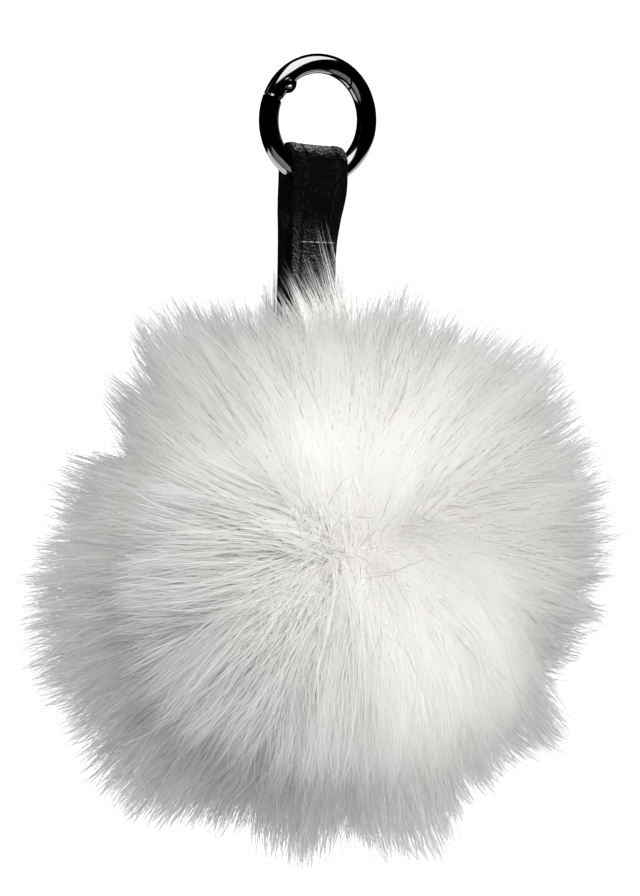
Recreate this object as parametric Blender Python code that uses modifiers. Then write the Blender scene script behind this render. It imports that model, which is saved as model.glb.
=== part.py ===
"""A faux-fur pom pom bag charm that lies on its back: a fur ball, a folded leather strap and a round gate ring.

Metres, +Z up. The origin is the middle of the flat spot under the ball. +Y runs along the strap to the ring.
"""

import math
from collections import namedtuple

import bmesh
import bpy
from mathutils import Matrix, Vector, noise

NAME = "pom_pom_bag_charm"

# Gap kept between two pieces
GAP = 0.0003

# Fur ball: a backing with locks of fur on it
BALL_CENTRE = Vector((0.0, 0.0, 0.050))
BACKING_RADIUS = 0.0445
BACKING_LUMP = 0.0012
FLAT_BELOW = 0.0135
FACE_SUBDIVISIONS = 3
VERTEX_SHIFT = 0.0022
LOCK_ROOT_MARGIN = 0.0012
LOCK_LENGTH_NOISE = 0.0022
SEED = 5
# How many times each unevenness changes over the ball's radius
VERTEX_SHIFT_SCALE = 7.3
BACKING_LUMP_SCALE = 5.1
LOCK_LENGTH_SCALE = 11.0
PARTING = Vector((0.012, 0.010, 1.0)).normalized()
TOP_REACH = 0.0635
TOP_LEAN = 0.30
SIDE_DROOP = 0.10
LYING_ROOT = 0.0075
LYING_REACH = 0.012
LYING_FLATNESS = 0.50
LYING_WIDTH = 0.80
HANGING_SHARE = 0.55
SHORT_LOCK = 0.45

# How far the fur's outline reaches from the ball's centre, seen from above, anticlockwise from +X
Reach = namedtuple("Reach", "degrees metres")
OUTLINE = (
    Reach(0, 0.0690),
    Reach(11, 0.0665),
    Reach(24, 0.0705),
    Reach(42, 0.0725),
    Reach(58, 0.0700),
    Reach(74, 0.0685),
    Reach(84, 0.0615),
    Reach(98, 0.0630),
    Reach(109, 0.0675),
    Reach(123, 0.0705),
    Reach(131, 0.0615),
    Reach(137, 0.0675),
    Reach(148, 0.0550),
    Reach(165, 0.0615),
    Reach(185, 0.0685),
    Reach(201, 0.0670),
    Reach(215, 0.0675),
    Reach(229, 0.0660),
    Reach(236, 0.0690),
    Reach(255, 0.0595),
    Reach(267, 0.0690),
    Reach(275, 0.0640),
    Reach(283, 0.0665),
    Reach(292, 0.0700),
    Reach(300, 0.0605),
    Reach(313, 0.0585),
    Reach(325, 0.0665),
    Reach(341, 0.0540),
    Reach(351, 0.0665),
    Reach(360, 0.0690),
)

# One section of a lock: how far along it, and how wide it is against its root
Section = namedtuple("Section", "along width")
LOCK_SECTIONS = (Section(0.42, 0.86), Section(0.78, 0.52))

# Strap: one strip, folded round the ring's rod, and twisted as the ring leans
STRAP_WIDTH = 0.0150
STRAP_THICKNESS = 0.0013
STRAP_LAYER_GAP = 0.0004
STRAP_SLIP = 0.0010
STRAP_EDGE_ROUND = 0.0004
STRAP_COLUMNS = 4
STRAP_SLOPE = math.radians(-24.0)
STRAP_SIDE_SHIFT = -0.0029
STRAP_SEAT_DISTANCE = 0.0437
STRAP_SEAT_RADIUS = 0.0130
STRAP_CLEAR_HALF_WIDTH = 0.0120
STRAP_CLEAR_HEIGHT = 0.0080
LOOP_CENTRE_Y = 0.0995
LOOP_GAP = 0.00036
LOOP_SKEW = 0.085
LOOP_SKEW_START_Y = 0.080
LOOP_SKEW_END_Y = 0.095
LOOP_NECK_SHARE = 0.60
LOOP_STEP = 15
ROUTE_STEPS = 3

# Ring: leans to the right, with its right side on the floor
RING_RADIUS = 0.0136
ROD_RADIUS = 0.0024
ROD_SIDES = 16
ROD_STEP = math.radians(9.0)
RING_CENTRE_Y = 0.1095
RING_ROLL = math.radians(30.0)
RING_PITCH = math.radians(3.0)
HINGE = Vector((-0.00934, 0.00862, 0.0))
# A slanted cut across the rod: the angles round the ring of its inner and outer end
Slant = namedtuple("Slant", "inner outer")
NOSE = Slant(math.radians(43.0), math.radians(64.4))
GATE_TAIL = Slant(math.radians(154.2), math.radians(157.2))
BODY_END = Slant(math.radians(160.9), math.radians(158.8))
NECK_ANGLE = math.radians(158.4)
NECK_RADIUS = 0.0019
NOSE_GAP = 0.00066
CUT_MARGIN = math.radians(14.0)
CUT_SWEEP = math.radians(30.0)
CUT_PAST_SHARE = 0.2
EAR_RADIUS = 0.0025
EAR_HALF_HEIGHT = 0.0013
FLAT_TOP_ANGLE = math.radians(134.0)
RIVET_POCKET_RADIUS = 0.0019
SLOT_HALF_HEIGHT = 0.0008
SLOT_LENGTH = 0.012
SLOT_WIDTH = 0.014
TONGUE_HALF_HEIGHT = 0.0005
TONGUE_END_RADIUS = 0.0018
TONGUE_ROOT_HALF_WIDTH = 0.0014
TONGUE_ROOT_DEPTH = math.radians(6.0)
TONGUE_END_STEPS = 8
RIVET_RADIUS = 0.0007
RIVET_HEAD_RADIUS = 0.0014
RIVET_HEAD_HEIGHT = 0.0005
RIVET_SIDES = 16
PIN_SIDES = 20
# Longer than any cut goes
REACH_THROUGH = 0.006


def remove_all_objects():
    for obj in list(bpy.data.objects):
        bpy.data.objects.remove(obj, do_unlink=True)


def new_collection(name):
    collection = bpy.data.collections.new(name)
    bpy.context.scene.collection.children.link(collection)
    return collection


def new_material(name, colour, roughness, metallic):
    material = bpy.data.materials.new(name)
    material.use_nodes = True
    shader = material.node_tree.nodes["Principled BSDF"]
    shader.inputs["Base Color"].default_value = (*colour, 1.0)
    shader.inputs["Roughness"].default_value = roughness
    shader.inputs["Metallic"].default_value = metallic
    return material


def mesh_object(name, bm, collection, material=None):
    """A new object that takes the bmesh's faces."""
    bmesh.ops.recalc_face_normals(bm, faces=bm.faces)
    mesh = bpy.data.meshes.new(name)
    bm.to_mesh(mesh)
    bm.free()
    obj = bpy.data.objects.new(name, mesh)
    collection.objects.link(obj)
    if material:
        mesh.materials.append(material)
    return obj


def smooth_mix(low, high, value):
    """0 below low, 1 above high, and a soft step in between."""
    share = min(max((value - low) / (high - low), 0.0), 1.0)
    return share * share * (3.0 - 2.0 * share)


# ---- The fur ball ----


def outline_reach(direction):
    """The outline's reach at the compass direction of a vector."""
    degrees = math.degrees(math.atan2(direction.y, direction.x)) % 360.0
    for near, far in zip(OUTLINE, OUTLINE[1:]):
        if near.degrees <= degrees <= far.degrees:
            share = (degrees - near.degrees) / (far.degrees - near.degrees)
            return near.metres + share * (far.metres - near.metres)
    raise ValueError("the outline has a hole")


def strap_direction():
    return Vector((0.0, math.cos(STRAP_SLOPE), math.sin(STRAP_SLOPE)))


def strap_root():
    """The middle of the strap's flat seat on the backing, which faces along the strap."""
    return BALL_CENTRE + strap_direction() * STRAP_SEAT_DISTANCE + Vector((STRAP_SIDE_SHIFT, 0.0, 0.0))


def from_strap(point):
    """How far a point is along the sewn stretch of the strap, beside it and above it."""
    offset = point - strap_root()
    along = strap_direction()
    above = Vector((0.0, -along.z, along.y))
    return offset.dot(along), offset.x, offset.dot(above)


def shape_backing(bm):
    """Makes the sphere lumpy, with a flat spot on the floor and a flat seat for the strap."""
    noise.seed_set(SEED)
    for vert in bm.verts:
        direction = vert.co.normalized()
        shift = noise.noise_vector(direction * VERTEX_SHIFT_SCALE)
        direction = (direction + shift * (VERTEX_SHIFT / BACKING_RADIUS)).normalized()
        lump = BACKING_LUMP * noise.noise(direction * BACKING_LUMP_SCALE)
        vert.co = BALL_CENTRE + direction * (BACKING_RADIUS + lump)
        if vert.co.z < FLAT_BELOW:
            vert.co.z = 0.0
        along, beside, above = from_strap(vert.co)
        if math.hypot(beside, above) < STRAP_SEAT_RADIUS and along > -STRAP_SEAT_RADIUS:
            vert.co -= strap_direction() * along


def takes_lock(face):
    """Only the flat spot and the strap's seat stay bare."""
    if all(vert.co.z < GAP for vert in face.verts):
        return False
    along, beside, above = from_strap(face.calc_center_median())
    in_the_way = abs(beside) < STRAP_CLEAR_HALF_WIDTH and abs(above) < STRAP_CLEAR_HEIGHT
    return not (in_the_way and along > -STRAP_SEAT_RADIUS)


def lock_tip(root):
    """Where the lock on this root ends: swept off the parting above, drooping at the sides, level on the floor."""
    out = (root - BALL_CENTRE).normalized()
    away = (out - PARTING).normalized()
    lean = TOP_LEAN * smooth_mix(-0.3, 0.9, out.z)
    droop = SIDE_DROOP * (1.0 - abs(out.z))
    aim = (out + away * lean + Vector((0.0, 0.0, -droop))).normalized()
    level = Vector((aim.x, aim.y, 0.0)).length
    reach = TOP_REACH + (outline_reach(aim) - TOP_REACH) * level**3
    reach += LOCK_LENGTH_NOISE * noise.noise(out * LOCK_LENGTH_SCALE)
    tip = BALL_CENTRE + aim * reach
    tip.z = max(tip.z, HANGING_SHARE * root.z)
    if root.z < LYING_ROOT:
        outward = Vector((out.x, out.y, 0.0)).normalized()
        tip = Vector((root.x, root.y, 0.0)) + outward * LYING_REACH
    return pass_strap(root, tip)


def pass_strap(root, tip):
    """Moves a tip that would touch the strap to that side of it where its root is."""
    along, beside, above = from_strap(tip)
    if along < 0.0 or abs(beside) > STRAP_CLEAR_HALF_WIDTH:
        return tip
    root_side = from_strap(root)[2]
    if abs(above) > STRAP_CLEAR_HEIGHT and above * root_side > 0.0:
        return tip
    return root + (tip - root) * SHORT_LOCK


def raise_lock(bm, face):
    """Grows a lock of fur on a face: an inset root, two thinner sections and a pointed tip."""
    root = face.calc_center_median()
    out = (root - BALL_CENTRE).normalized()
    tip = lock_tip(root)
    lying = tip.z < GAP
    elbow = root + out * (0.5 * (tip - root).length)
    elbow.z = max(elbow.z, 0.5 * (root.z + tip.z))
    bmesh.ops.inset_individual(bm, faces=[face], thickness=LOCK_ROOT_MARGIN, use_even_offset=True)
    corners = [vert.co - root for vert in face.verts]
    if lying:
        flatten = Vector((LYING_WIDTH, LYING_WIDTH, LYING_FLATNESS))
        corners = [corner * flatten for corner in corners]
    for section in LOCK_SECTIONS:
        face = bmesh.ops.extrude_discrete_faces(bm, faces=[face])["faces"][0]
        along = section.along
        centre = root.lerp(elbow, along).lerp(elbow.lerp(tip, along), along)
        heading = (elbow - root).lerp(tip - elbow, along)
        turn = out.rotation_difference(heading.normalized())
        for vert, corner in zip(face.verts, corners):
            vert.co = centre + turn @ (corner * section.width)
        rise_to_floor(face.verts, lying)
    end = bmesh.ops.poke(bm, faces=[face])["verts"][0]
    end.co = tip


def rise_to_floor(verts, lying):
    """Lifts a section that is under the floor, and sets one of a lying lock down on it."""
    lowest = min(vert.co.z for vert in verts)
    if lowest > 0.0 and not lying:
        return
    for vert in verts:
        vert.co.z -= lowest


def make_pompom(collection, material):
    bm = bmesh.new()
    bmesh.ops.create_icosphere(bm, subdivisions=FACE_SUBDIVISIONS, radius=BACKING_RADIUS)
    shape_backing(bm)
    for face in [f for f in bm.faces if takes_lock(f)]:
        raise_lock(bm, face)
    return mesh_object("pompom", bm, collection, material)


# ---- The strap ----


def smooth_route(points, steps):
    """Points along a smooth curve through the given ones, each a tuple of numbers."""
    ends = [[2.0 * a - b for a, b in zip(points[0], points[1])]]
    ends.append([2.0 * a - b for a, b in zip(points[-1], points[-2])])
    padded = [ends[0], *points, ends[1]]
    route = []
    for before, start, stop, after in zip(padded, padded[1:], padded[2:], padded[3:]):
        for step in range(steps):
            t = step / steps
            route.append([spline(t, *values) for values in zip(before, start, stop, after)])
    route.append(list(points[-1]))
    return route


def spline(t, before, start, stop, after):
    """A Catmull-Rom curve's value between start and stop."""
    linear = 0.5 * (stop - before)
    square = before - 2.5 * start + 2.0 * stop - 0.5 * after
    cube = 1.5 * (start - stop) + 0.5 * (after - before)
    return start + t * (linear + t * (square + t * cube))


# A station between the strap's two layers: where it is, how far it is twisted about its length, how far each
# layer's middle is from it, and how far the upper layer has slipped to the right and the lower one to the left
Station = namedtuple("Station", "x y z twist apart slip")


def ring_centre():
    """The ring's centre: its lowest point is on the floor."""
    normal = ring_turn() @ Vector((0.0, 0.0, 1.0))
    lean = math.acos(normal.z)
    return Vector((0.0, RING_CENTRE_Y, RING_RADIUS * math.sin(lean) + ROD_RADIUS))


def ring_turn():
    return Matrix.Rotation(RING_ROLL, 3, "Y") @ Matrix.Rotation(RING_PITCH, 3, "X")


def in_ring_plane(x, y):
    """The point of the ring's own plane at this place."""
    centre = ring_centre()
    normal = ring_turn() @ Vector((0.0, 0.0, 1.0))
    rise = (normal.x * (centre.x - x) + normal.y * (centre.y - y)) / normal.z
    return x, y, centre.z + rise


def strap_stations():
    """From the seat on the ball to the middle of the loop."""
    close = 0.5 * (STRAP_THICKNESS + STRAP_LAYER_GAP)
    wide = ROD_RADIUS + LOOP_GAP + 0.5 * STRAP_THICKNESS
    start = strap_root() + strap_direction() * (2.0 * GAP)
    return [
        Station(start.x, start.y, start.z, 40.0, close, STRAP_SLIP),
        Station(-0.0029, 0.0600, 0.0231, 44.0, close, STRAP_SLIP),
        Station(-0.0026, 0.0790, 0.0150, 43.0, close, STRAP_SLIP),
        Station(-0.0021, 0.0865, 0.0115, 37.0, LOOP_NECK_SHARE * wide, 0.0003),
        Station(*in_ring_plane(-0.0013, 0.0930), 31.0, wide, 0.0),
        Station(*in_ring_plane(-0.0011, LOOP_CENTRE_Y), 30.0, wide, 0.0),
    ]


# A row across the strip: its middle, and the directions across it and out of its upper side
Row = namedtuple("Row", "middle sideways up")


def across(twist, slope):
    """The turn that sets the strip's width and thickness square to its run."""
    lean = Matrix.Rotation(slope, 3, "X")
    return lean @ Matrix.Rotation(math.radians(twist), 3, "Y")


def strap_rows():
    """Rows across the strip: out of the ball on top, round the rod, and back underneath."""
    stations = [Station(*values) for values in smooth_route(strap_stations(), ROUTE_STEPS)]
    upper, lower = [], []
    neighbours = zip([stations[0]] + stations, stations, stations[1:] + [stations[-1]])
    for before, here, after in neighbours:
        slope = math.atan2(after.z - before.z, after.y - before.y)
        turn = across(here.twist, slope)
        middle = Vector((here.x, here.y, here.z))
        sideways, up = turn.col[0], turn.col[2]
        away = up * here.apart + sideways * here.slip
        upper.append(Row(middle + away, sideways, up))
        lower.append(Row(middle - away, sideways, up))
    last = upper[-1]
    centre = 0.5 * (upper[-1].middle + lower[-1].middle)
    apart = stations[-1].apart
    ahead = last.sideways.cross(last.up) * -1.0
    loop = []
    for degrees in range(90 - LOOP_STEP, -90, -LOOP_STEP):
        angle = math.radians(degrees)
        middle = centre + (ahead * math.cos(angle) + last.up * math.sin(angle)) * apart
        loop.append(Row(middle, last.sideways, last.up))
    return upper + loop + lower[::-1]


def make_strap(collection, material):
    """A strip of quads along the route, made solid and rounded at its edges."""
    bm = bmesh.new()
    rows = []
    for place in strap_rows():
        skew = LOOP_SKEW * smooth_mix(LOOP_SKEW_START_Y, LOOP_SKEW_END_Y, place.middle.y)
        row = []
        for column in range(STRAP_COLUMNS + 1):
            beside = (column / STRAP_COLUMNS - 0.5) * STRAP_WIDTH
            ahead = Vector((0.0, -skew * beside, 0.0))
            row.append(bm.verts.new(place.middle + place.sideways * beside + ahead))
        rows.append(row)
    for near, far in zip(rows, rows[1:]):
        for left in range(STRAP_COLUMNS):
            bm.faces.new((near[left], near[left + 1], far[left + 1], far[left]))
    obj = mesh_object("strap", bm, collection, material)
    solid = obj.modifiers.new("leather", "SOLIDIFY")
    solid.thickness = STRAP_THICKNESS
    solid.offset = 0.0
    solid.use_even_offset = True
    rounded = obj.modifiers.new("turned_edges", "BEVEL")
    rounded.width = STRAP_EDGE_ROUND
    rounded.segments = 2
    rounded.limit_method = "ANGLE"
    rounded.angle_limit = math.radians(60.0)
    return obj


# ---- The ring ----


def rod_arc(name, start, stop, collection, radius=ROD_RADIUS):
    """A bent round rod from one angle to another, as a closed mesh."""
    curve = bpy.data.curves.new(name, "CURVE")
    curve.dimensions = "3D"
    curve.bevel_depth = radius
    curve.bevel_resolution = ROD_SIDES // 4 - 2
    curve.use_fill_caps = True
    steps = max(2, round(abs(stop - start) / ROD_STEP))
    line = curve.splines.new("POLY")
    line.points.add(steps)
    for index, point in enumerate(line.points):
        point.co = (*on_ring(start + (stop - start) * index / steps), 1.0)
    guide = bpy.data.objects.new(name, curve)
    collection.objects.link(guide)
    depsgraph = bpy.context.evaluated_depsgraph_get()
    mesh = bpy.data.meshes.new_from_object(guide.evaluated_get(depsgraph))
    bpy.data.objects.remove(guide)
    bm = bmesh.new()
    bm.from_mesh(mesh)
    bmesh.ops.remove_doubles(bm, verts=bm.verts, dist=1e-6)
    bpy.data.meshes.remove(mesh)
    return mesh_object(name, bm, collection)


def cylinder(name, radius, bottom, top, centre, collection):
    bm = bmesh.new()
    height = top - bottom
    bmesh.ops.create_cone(
        bm, cap_ends=True, segments=PIN_SIDES, radius1=radius, radius2=radius, depth=height
    )
    middle = Vector((centre.x, centre.y, 0.5 * (top + bottom)))
    bmesh.ops.translate(bm, verts=bm.verts, vec=middle)
    return mesh_object(name, bm, collection)


def block(name, sizes, centre, angle, collection):
    """A box turned about Z."""
    bm = bmesh.new()
    bmesh.ops.create_cube(bm, size=1.0)
    bmesh.ops.scale(bm, verts=bm.verts, vec=sizes)
    turn = Matrix.Rotation(angle, 3, "Z")
    bmesh.ops.rotate(bm, verts=bm.verts, cent=(0.0, 0.0, 0.0), matrix=turn)
    bmesh.ops.translate(bm, verts=bm.verts, vec=centre)
    return mesh_object(name, bm, collection)


def on_ring(angle, radius=RING_RADIUS):
    return Vector((radius * math.cos(angle), radius * math.sin(angle), 0.0))


def plate(name, outline, half_height, collection):
    """A flat plate in the ring's plane, from its outline's corners."""
    bm = bmesh.new()
    corners = [bm.verts.new((point.x, point.y, -half_height)) for point in outline]
    face = bm.faces.new(corners)
    raised = bmesh.ops.extrude_face_region(bm, geom=[face])["geom"]
    verts = [item for item in raised if isinstance(item, bmesh.types.BMVert)]
    bmesh.ops.translate(bm, verts=verts, vec=(0.0, 0.0, 2.0 * half_height))
    return mesh_object(name, bm, collection)


def boolean(obj, operation, other, cutters):
    """Cuts with, or joins, another object, which then is no part of the model."""
    modifier = obj.modifiers.new(other.name, "BOOLEAN")
    modifier.operation = operation
    modifier.object = other
    modifier.solver = "EXACT"
    for collection in other.users_collection:
        collection.objects.unlink(other)
    cutters.objects.link(other)
    other.hide_render = True
    other.display_type = "WIRE"


def slant_cutter(name, slant, shift, sweep, collection):
    """A wedge that takes away the rod past a slanted cut, moved along the ring by shift radians."""
    start = on_ring(slant.inner + shift, RING_RADIUS - ROD_RADIUS)
    end = on_ring(slant.outer + shift, RING_RADIUS + ROD_RADIUS)
    past = (end - start) * CUT_PAST_SHARE
    inner, outer = start - past, end + past
    away = Matrix.Rotation(sweep, 3, "Z")
    corners = [inner, outer, away @ outer, away @ inner]
    return plate(name, corners, 2.0 * ROD_RADIUS, collection)


def middle_of(slant):
    return 0.5 * (slant.inner + slant.outer)


def make_ring_body(parts, cutters, material):
    """The fixed rod with its slanted seat for the gate's nose, and the hinge's neck and tongue."""
    start = middle_of(BODY_END) - CUT_MARGIN
    stop = middle_of(NOSE) + CUT_MARGIN + 2.0 * math.pi
    body = rod_arc("ring_body", start, stop, parts)
    body.data.materials.append(material)
    half_gap = 0.5 * NOSE_GAP / RING_RADIUS
    seat = slant_cutter("nose_seat", NOSE, -half_gap, CUT_SWEEP, parts)
    boolean(body, "DIFFERENCE", seat, cutters)
    end = slant_cutter("body_end", BODY_END, 0.0, -CUT_SWEEP, parts)
    boolean(body, "DIFFERENCE", end, cutters)
    neck = rod_arc("neck", NECK_ANGLE, BODY_END.inner + CUT_MARGIN, parts, NECK_RADIUS)
    boolean(body, "UNION", neck, cutters)
    boolean(body, "UNION", make_tongue(parts), cutters)
    hole = rivet_hole("tongue_hole", RIVET_RADIUS + GAP, parts)
    boolean(body, "DIFFERENCE", hole, cutters)
    return body


def rivet_hole(name, radius, collection, bottom=-REACH_THROUGH, top=REACH_THROUGH):
    return cylinder(name, radius, bottom, top, HINGE, collection)


def make_tongue(collection):
    """A flat bar with a round end about the hinge, which starts inside the fixed rod."""
    inside = BODY_END.outer + TONGUE_ROOT_DEPTH
    lower = on_ring(inside, RING_RADIUS + TONGUE_ROOT_HALF_WIDTH)
    upper = on_ring(inside, RING_RADIUS - TONGUE_ROOT_HALF_WIDTH)
    away = (HINGE - 0.5 * (lower + upper)).normalized()
    heading = math.atan2(away.y, away.x)
    outline = [upper]
    for step in range(TONGUE_END_STEPS + 1):
        angle = heading - 0.5 * math.pi + math.pi * step / TONGUE_END_STEPS
        outline.append(HINGE + TONGUE_END_RADIUS * Vector((math.cos(angle), math.sin(angle), 0.0)))
    outline.append(lower)
    return plate("tongue", outline, TONGUE_HALF_HEIGHT, collection)


def make_ring_gate(parts, cutters, material):
    """The gate's rod with a slanted nose, and two flat ears about the hinge with a slot between them."""
    start = middle_of(NOSE) - CUT_MARGIN
    stop = middle_of(GATE_TAIL) + CUT_MARGIN
    gate = rod_arc("ring_gate", start, stop, parts)
    gate.data.materials.append(material)
    half_gap = 0.5 * NOSE_GAP / RING_RADIUS
    nose = slant_cutter("gate_nose", NOSE, half_gap, -CUT_SWEEP, parts)
    boolean(gate, "DIFFERENCE", nose, cutters)
    tail = slant_cutter("gate_tail", GATE_TAIL, 0.0, CUT_SWEEP, parts)
    boolean(gate, "DIFFERENCE", tail, cutters)
    ears = cylinder("ears", EAR_RADIUS, -EAR_HALF_HEIGHT, EAR_HALF_HEIGHT, HINGE, parts)
    boolean(gate, "UNION", ears, cutters)
    for side, name in ((1.0, "front"), (-1.0, "back")):
        boolean(gate, "DIFFERENCE", make_flat(name + "_flat", side, parts), cutters)
        ends = sorted((side * EAR_HALF_HEIGHT, side * REACH_THROUGH))
        pocket = rivet_hole(name + "_pocket", RIVET_POCKET_RADIUS, parts, *ends)
        boolean(gate, "DIFFERENCE", pocket, cutters)
    boolean(gate, "DIFFERENCE", make_slot(parts), cutters)
    hole = rivet_hole("ear_hole", RIVET_RADIUS + GAP, parts)
    boolean(gate, "DIFFERENCE", hole, cutters)
    return gate


def make_flat(name, side, collection):
    """Takes the rod's crown off from its tail to the hinge."""
    past_tail = GATE_TAIL.outer + 0.5 * CUT_MARGIN
    middle = 0.5 * (past_tail + FLAT_TOP_ANGLE)
    length = (past_tail - FLAT_TOP_ANGLE) * RING_RADIUS
    centre = on_ring(middle)
    centre.z = side * (EAR_HALF_HEIGHT + 0.5 * REACH_THROUGH)
    sizes = (4.0 * ROD_RADIUS, length, REACH_THROUGH)
    return block(name, sizes, centre, middle, collection)


def make_slot(collection):
    """The slot between the ears, open at the tail and at both edges."""
    heading = math.atan2(HINGE.y, HINGE.x) - 0.5 * math.pi
    tangent = Vector((math.cos(heading), math.sin(heading), 0.0))
    reach = TONGUE_END_RADIUS + 2.0 * GAP
    centre = HINGE + tangent * (reach - 0.5 * SLOT_LENGTH)
    sizes = (SLOT_LENGTH, SLOT_WIDTH, 2.0 * SLOT_HALF_HEIGHT)
    return block("slot", sizes, centre, heading, collection)


def make_rivet(parts, cutters, material):
    """The hinge's shank with a domed head on each side."""
    head_bottom = EAR_HALF_HEIGHT + GAP
    profile = [(0.0, head_bottom + RIVET_HEAD_HEIGHT)]
    for degrees in (65, 40, 15, 0):
        angle = math.radians(degrees)
        height = head_bottom + RIVET_HEAD_HEIGHT * math.sin(angle)
        profile.append((RIVET_HEAD_RADIUS * math.cos(angle), height))
    profile.append((RIVET_RADIUS, head_bottom))
    mirrored = [(radius, -height) for radius, height in reversed(profile)]
    bm = bmesh.new()
    verts = [bm.verts.new((radius, 0.0, height)) for radius, height in profile + mirrored]
    for near, far in zip(verts, verts[1:]):
        bm.edges.new((near, far))
    mesh = bpy.data.meshes.new("rivet")
    bm.to_mesh(mesh)
    bm.free()
    rivet = bpy.data.objects.new("rivet", mesh)
    parts.objects.link(rivet)
    mesh.materials.append(material)
    turn = rivet.modifiers.new("turned", "SCREW")
    turn.steps = RIVET_SIDES
    turn.render_steps = RIVET_SIDES
    turn.use_merge_vertices = True
    turn.merge_threshold = 1e-5
    return rivet


def place_ring(pieces, rivet, collection):
    """Leans the ring, with its cutters, on its right side."""
    holder = bpy.data.objects.new("ring_frame", None)
    collection.objects.link(holder)
    holder.location = ring_centre()
    holder.rotation_euler = ring_turn().to_euler()
    for piece in pieces:
        piece.parent = holder
    rivet.parent = holder
    rivet.location = HINGE


def shade_round(obj, degrees=35.0):
    obj.data.shade_smooth()
    obj.data.set_sharp_from_angle(angle=math.radians(degrees))


def main():
    remove_all_objects()
    parts = new_collection(NAME)
    cutters = new_collection("cutters")
    fur = new_material("white_fur", (0.86, 0.85, 0.83), 0.9, 0.0)
    leather = new_material("black_leather", (0.012, 0.012, 0.012), 0.45, 0.0)
    chrome = new_material("black_chrome", (0.10, 0.10, 0.11), 0.15, 1.0)
    pompom = make_pompom(parts, fur)
    strap = make_strap(parts, leather)
    body = make_ring_body(parts, cutters, chrome)
    gate = make_ring_gate(parts, cutters, chrome)
    rivet = make_rivet(parts, cutters, chrome)
    place_ring([body, gate, *cutters.objects], rivet, parts)
    for obj in (pompom, strap, body, gate, rivet):
        shade_round(obj)


main()
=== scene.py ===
"""The looks of a white faux-fur pom pom bag charm that lies on its back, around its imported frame.

Metres, +Z up. The ball's flat spot is at the origin and +Y runs along the strap to the ring.
"""

import math
from collections import namedtuple
from math import atan2, cos, pi, radians, sin

import bmesh
import bpy
import numpy as np
from mathutils import Matrix, Vector

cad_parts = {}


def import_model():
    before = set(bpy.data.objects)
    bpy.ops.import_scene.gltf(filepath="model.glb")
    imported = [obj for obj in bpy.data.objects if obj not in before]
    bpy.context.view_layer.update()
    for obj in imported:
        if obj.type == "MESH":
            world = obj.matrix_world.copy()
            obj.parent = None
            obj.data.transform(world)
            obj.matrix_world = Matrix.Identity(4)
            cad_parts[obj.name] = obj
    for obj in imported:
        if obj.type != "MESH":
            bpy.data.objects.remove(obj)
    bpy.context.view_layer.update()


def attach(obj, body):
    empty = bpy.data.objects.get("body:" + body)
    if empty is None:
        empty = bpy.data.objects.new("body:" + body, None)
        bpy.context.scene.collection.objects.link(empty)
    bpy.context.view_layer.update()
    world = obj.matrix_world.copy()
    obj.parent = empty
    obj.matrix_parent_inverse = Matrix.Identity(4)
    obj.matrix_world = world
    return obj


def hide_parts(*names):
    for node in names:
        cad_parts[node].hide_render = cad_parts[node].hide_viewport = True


# ---- Camera: straight above, with the ring at the top of the picture ----
IMAGE_HEIGHT_PX = 896
PIXELS_PER_METRE = 4156.0
CAMERA_DISTANCE = 1.33
RING_LEVEL = 0.009
VIEW_CENTRE = (0.0005, 0.0306)
SENSOR = 36.0

# ---- Stage ----
KEY_PLACE = (0.22, 0.44, 1.08)
KEY_SIZE = (1.0, 1.0)
KEY_POWER = 12.6
# Each coat of these has a key light of its own, this much stronger or weaker than the others'
COAT_KEY_SHARES = {"fur_front": 1.31, "fur_over": 0.73, "fur_crown": 0.95}
KEY_COLOUR = (1.0, 0.985, 0.955)
WHITE = (1.0, 1.0, 1.0)
SKY_COLOUR = (0.93, 0.97, 1.0, 1.0)
SKY_STRENGTH = 0.47
LIGHT_BOUNCES = 16
# The coats whose shadows show: the long front fur's. The finer fur is lit evenly, as light spreads through it
SHADING_COATS = ("fur_front",)
FLOOR_SIZE = 6.0
FLOOR_LIGHT = 3.1

# ---- Strap: one strip, folded round the ring's rod, and twisted as the ring leans ----
STRAP_WIDTH = 0.0150
STRAP_THICKNESS = 0.0013
STRAP_LAYER_GAP = 0.0004
STRAP_SLIP = 0.0010
LOOP_NECK_SLIP = 0.0003
LOOP_CENTRE_Y = 0.0995
LOOP_GAP = 0.00036
LOOP_SKEW = 0.085
LOOP_SKEW_START_Y = 0.080
LOOP_SKEW_END_Y = 0.095
LOOP_NECK_SHARE = 0.60
LOOP_STEPS = 48
ROUTE_STEPS = 20
OUTER_POINTS = 61
INNER_POINTS = 13
EDGE_POINTS = 13
EDGE_SEAM = 0.16
BEAD_HEIGHT = 0.00022
BEAD_PLACE = 0.0058
BEAD_WIDTH = 0.0011
GROOVE_DEPTH = 0.00034
GROOVE_PLACE = 0.0043
GROOVE_WIDTH = 0.00030
LIP_PLACE = 0.0036
STITCH_PITCH = 0.0030
STITCH_LENGTH = 0.0023
STITCH_RISE = 0.00016
STITCH_POINTS = 7
THREAD_RADIUS = 0.00018
THREAD_SIDES = 6
GROOVE_THREAD_SUNK = 0.5
CROSS_THREAD_SUNK = 0.3
CROSS_STITCH_Y = 0.0799
CROSS_STITCH_LEFT = -0.0040
CROSS_STITCH_RIGHT = 0.0062
CROSS_STITCH_LENGTH = 0.0017
CROSS_STITCH_PITCH = 0.0021

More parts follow.
